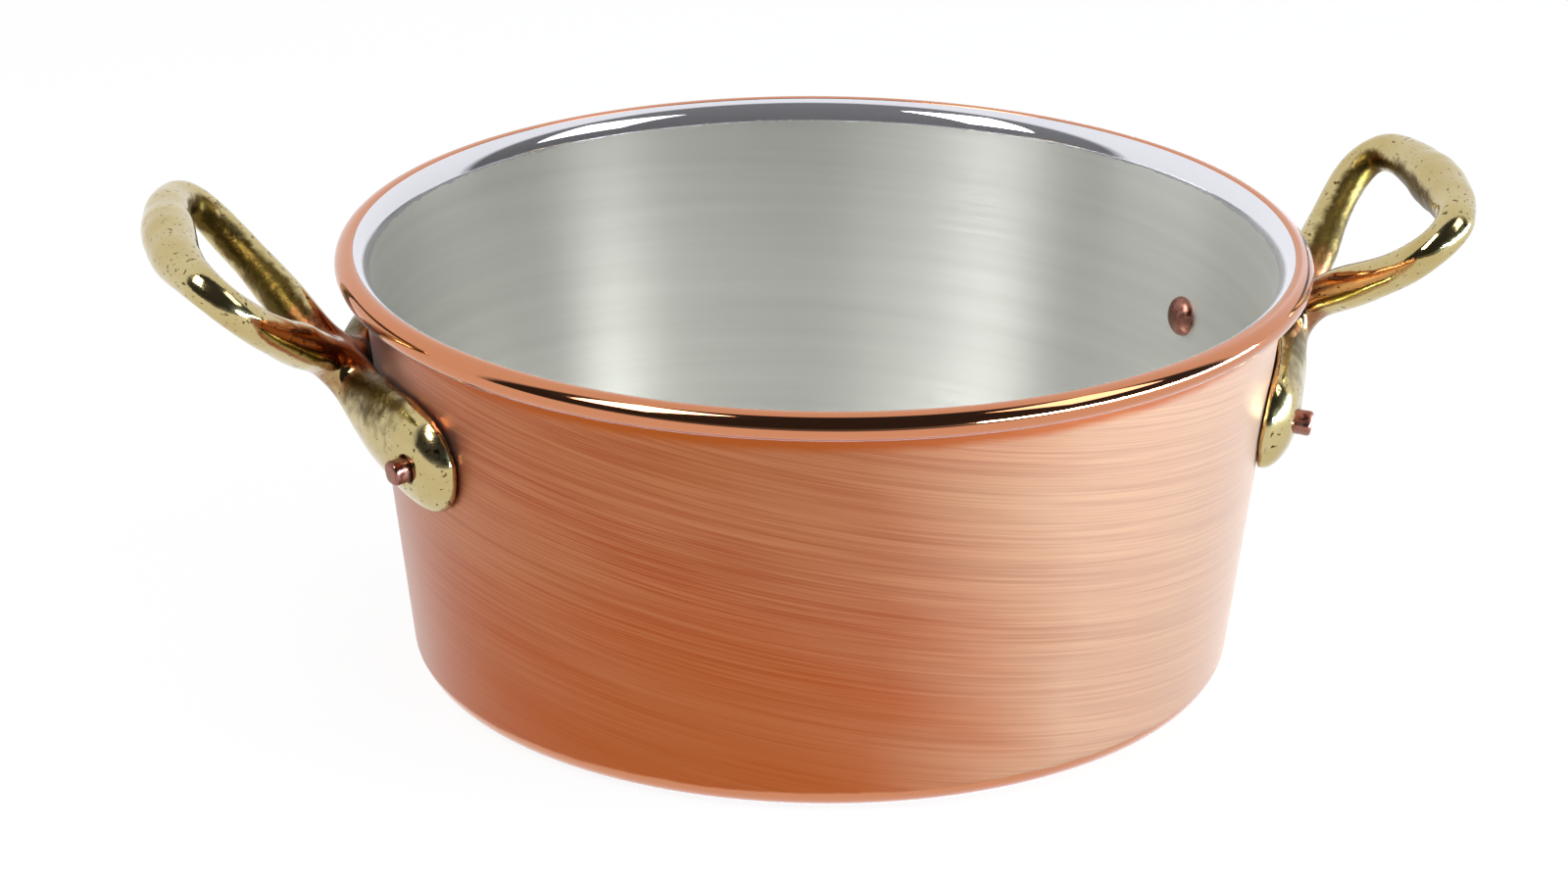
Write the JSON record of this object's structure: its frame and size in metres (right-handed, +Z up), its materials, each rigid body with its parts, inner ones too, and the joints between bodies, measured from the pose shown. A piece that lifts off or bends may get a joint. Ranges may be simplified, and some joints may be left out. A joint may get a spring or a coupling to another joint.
{
  "type": "jam pan",
  "caption": "Straight-sided copper jam pan with a leaning wall, a rolled lip, a bonded steel lining and an upswept brass loop handle riveted on at each side.",
  "frame": {"origin": "middle of the underside of the base", "axes": "+X runs through the middles of the two handles, towards handle_right; +Z up"},
  "size_m": [0.3382, 0.246, 0.1267],
  "materials": {
    "copper": "satin-brushed round the wall, polished at the lip and the foot",
    "lining_steel": "brushed round the inside, polished on the roll of the lip",
    "cast_brass": "cast and polished, with a golden patina near the neck",
    "rivet_copper": "hammered"
  },
  "bodies": {
    "root": {"pan_body": "copper", "steel_lining": "lining_steel", "handle_left": "cast_brass", "handle_right": "cast_brass", "rivet_left_front": "rivet_copper", "rivet_left_back": "rivet_copper", "rivet_right_front": "rivet_copper", "rivet_right_back": "rivet_copper"}
  },
  "joints": []
}
